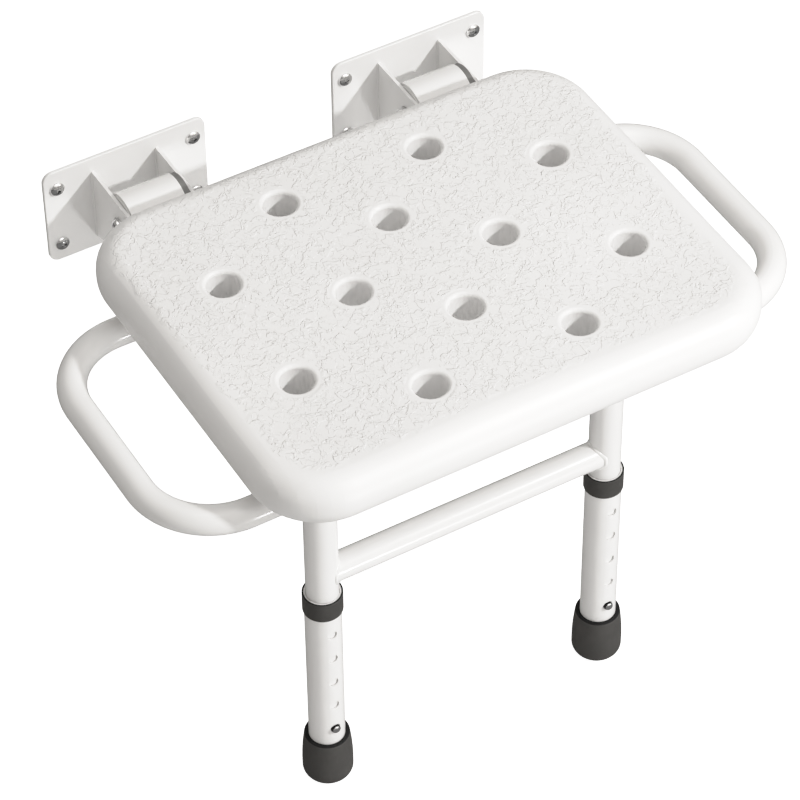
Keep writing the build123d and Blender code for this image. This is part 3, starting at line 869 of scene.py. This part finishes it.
FINISHES = {
    "white_paint": finish_material(
        "white_paint",
        tones=((0.875, 0.868, 0.858, 1), (0.85, 0.842, 0.831, 1)),
        gloss=(0.24, 0.08),
        patches=14.0,
        grain=(520.0, 0.02 * MM),
        **{"Coat Weight": 0.25, "Coat Roughness": 0.08},
    ),
    "black_plastic": finish_material(
        "black_plastic",
        tones=((0.06, 0.058, 0.055, 1), (0.072, 0.07, 0.066, 1)),
        gloss=(0.42, 0.12),
        patches=60.0,
        grain=(1500.0, 0.03 * MM),
        # faces that look up get near-black painted shade
        mask=upper_lip_shade,
        masked=LIP_SHADE_TONES,
        **{"Specular IOR Level": 0.2},
    ),
    "rubber": finish_material(
        "charcoal_rubber",
        tones=((0.066, 0.064, 0.061, 1), (0.079, 0.076, 0.072, 1)),
        gloss=(0.52, 0.14),
        patches=45.0,
        grain=(1400.0, 0.05 * MM),
        # faces that look up get near-black painted shade
        mask=upper_lip_shade,
        masked=LIP_SHADE_TONES,
        **{"Specular IOR Level": 0.15},
    ),
    "chrome": finish_material("chrome_plate", CHROME_TONES, **CHROME),
    "steel": finish_material(
        "zinc_plate",
        tones=((0.6, 0.6, 0.6, 1), (0.5, 0.5, 0.49, 1)),
        gloss=(0.34, 0.16),
        patches=220.0,
        grain=(2200.0, 0.01 * MM),
        Metallic=1.0,
    ),
    "nylon": finish_material(
        "dark_nylon",
        tones=((0.1, 0.1, 0.1, 1), (0.12, 0.12, 0.12, 1)),
        gloss=(0.5, 0.1),
        patches=80.0,
        grain=(1600.0, 0.02 * MM),
    ),
    "seat_plastic": seat_material(),
}

# Pale nylon hinge bushes, with grey painted shade on those in a barrel's right end
bush_nylon = finish_material(
    "bush_nylon",
    tones=((0.78, 0.77, 0.755, 1), (0.72, 0.71, 0.695, 1)),
    gloss=(0.5, 0.1),
    patches=80.0,
    grain=(1600.0, 0.02 * MM),
    mask=right_end_shade,
    # grey painted shade for the bushes in the barrels' right ends
    masked=((0.16, 0.158, 0.152, 1), (0.19, 0.188, 0.18, 1)),
)

# Chrome snap buttons, with near-black painted shade on the sides that sit in their holes
button_chrome = finish_material(
    "button_chrome", GAP_SHADE_TONES, mask=button_front, masked=CHROME_TONES, **CHROME
)


def dress(obj, material):
    """obj with that one material."""
    obj.data.materials.clear()
    obj.data.materials.append(material)


def place_piece(piece, body, slot, *replaced):
    """A finished piece given its material and its body; the nodes that it stands for are hidden.
    """
    dress(piece, FINISHES[slot])
    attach(piece, body)
    if replaced:
        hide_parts(*replaced)


for subpart in frame["record"]["subparts"]:
    dress(nodes[subpart["node"]], FINISHES[subpart["material_slot"]])
for side in SIDES:
    dress(nodes[f"{side}_hinge_bushes"], bush_nylon)
    dress(nodes[f"{side}_snap_button"], button_chrome)

place_piece(make_seat(), "seat", "seat_plastic", "seat_board")
for side in SIDES:
    place_piece(make_wall_screws(side), "wall_brackets", "chrome", f"{side}_wall_screws")
place_piece(wall_welds(), "wall_brackets", "white_paint")
place_piece(frame_welds(), "seat", "white_paint")
place_piece(leg_welds(), "leg_frame", "white_paint")


# Floor, light and camera


def make_floor():
    """A plain pale floor that fills every view, looks white and gives back little light."""
    deselect_all()
    bpy.ops.mesh.primitive_plane_add(size=FLOOR_SIZE, location=(0, 0, -FLOOR_DROP))
    floor = bpy.context.object
    floor.name = "pale_floor"
    floor.visible_shadow = False
    material, b, shader = new_material("pale_floor")
    tone = b.mix(b.noise(b.coordinate("Object"), FLOOR_PATCHES), *FLOOR_TONES)
    path = b.node("ShaderNodeLightPath").outputs
    mirrored = b.math("MULTIPLY", path["Is Glossy Ray"], 1 - SHEEN_FLOOR)
    b.feed(shader, {
        "Base Color": b.mix(mirrored, tone, BLACK),
        "Roughness": FLOOR_ROUGHNESS,
        "Specular IOR Level": 0.0,
        "Emission Color": WHITE,
        "Emission Strength": b.math("MULTIPLY", path["Is Camera Ray"], FLOOR_GLOW),
    })
    dress(floor, material)


def area_light(name, toward, distance, size, power):
    """A square soft light that faces the seat from a direction."""
    light = bpy.data.lights.new(name, "AREA")
    light.shape = "SQUARE"
    light.size = size
    light.energy = power
    holder = bpy.data.objects.new(name, light)
    bpy.context.scene.collection.objects.link(holder)
    way = Vector(toward).normalized()
    holder.location = seat_middle + distance * way
    holder.rotation_euler = way.to_track_quat("Z", "Y").to_euler()
    holder.visible_camera = False


def make_light():
    """A key light from the front right, a soft light overhead, a low fill and light all round."""
    area_light("key", **KEY)
    area_light("overhead", **OVERHEAD)
    area_light("low_fill", **LOW_FILL)
    world = bpy.data.worlds.new("studio")
    bpy.context.scene.world = world
    world.use_nodes = True
    b = NodeBench(world.node_tree)
    path = b.node("ShaderNodeLightPath").outputs
    toward_panel = b.dot(b.coordinate("Generated"), tuple(SHEEN_TOWARD))
    panel = b.between(toward_panel, *SHEEN_EDGE, SHEEN_ROOM, SHEEN_PANEL)
    gloss = b.math("MULTIPLY", path["Is Glossy Ray"], b.math("SUBTRACT", panel, ROOM_LIGHT))
    b.feed(world.node_tree.nodes["Background"], {
        "Color": b.mix(path["Is Camera Ray"], ROOM_COLOUR, WHITE),
        "Strength": b.math("MAXIMUM", b.math("ADD", gloss, ROOM_LIGHT), path["Is Camera Ray"]),
    })


def soften_highlights():
    """Plain tones up to the middle, and a gentle shoulder above, as in a product photograph."""
    view = bpy.context.scene.view_settings
    view.view_transform = "Standard"
    view.use_curve_mapping = True
    mapping = view.curve_mapping
    mapping.white_level = (HIGHLIGHT_LIMIT,) * 3
    curve = mapping.curves[3]
    for bright, shown in HIGHLIGHT_SHOULDER:
        curve.points.new(bright / HIGHLIGHT_LIMIT, shown)
    mapping.update()


def make_camera():
    """The camera at the photograph's viewpoint."""
    back = Vector((
        sin(CAMERA_AZIMUTH) * cos(CAMERA_ELEVATION),
        -cos(CAMERA_AZIMUTH) * cos(CAMERA_ELEVATION),
        sin(CAMERA_ELEVATION),
    ))
    level_right = (-back).cross(Vector((0, 0, 1))).normalized()
    level_up = level_right.cross(-back)
    right = level_right * cos(CAMERA_ROLL) + level_up * sin(CAMERA_ROLL)
    up = level_up * cos(CAMERA_ROLL) - level_right * sin(CAMERA_ROLL)
    aim = Vector((seat_middle.x, seat_middle.y, seat_high.z - CAMERA_AIM_DROP))
    x, y, z = CAMERA_OFFSET
    place = aim - right * x - up * y + back * z
    turn = Matrix((right, up, back)).transposed().to_4x4()
    data = bpy.data.cameras.new("photo_camera")
    data.lens = CAMERA_LENS
    data.sensor_width = CAMERA_SENSOR
    data.clip_end = CAMERA_REACH
    camera = bpy.data.objects.new("photo_camera", data)
    bpy.context.scene.collection.objects.link(camera)
    camera.matrix_world = Matrix.Translation(place) @ turn
    bpy.context.scene.camera = camera


make_floor()
make_light()
soften_highlights()
make_camera()
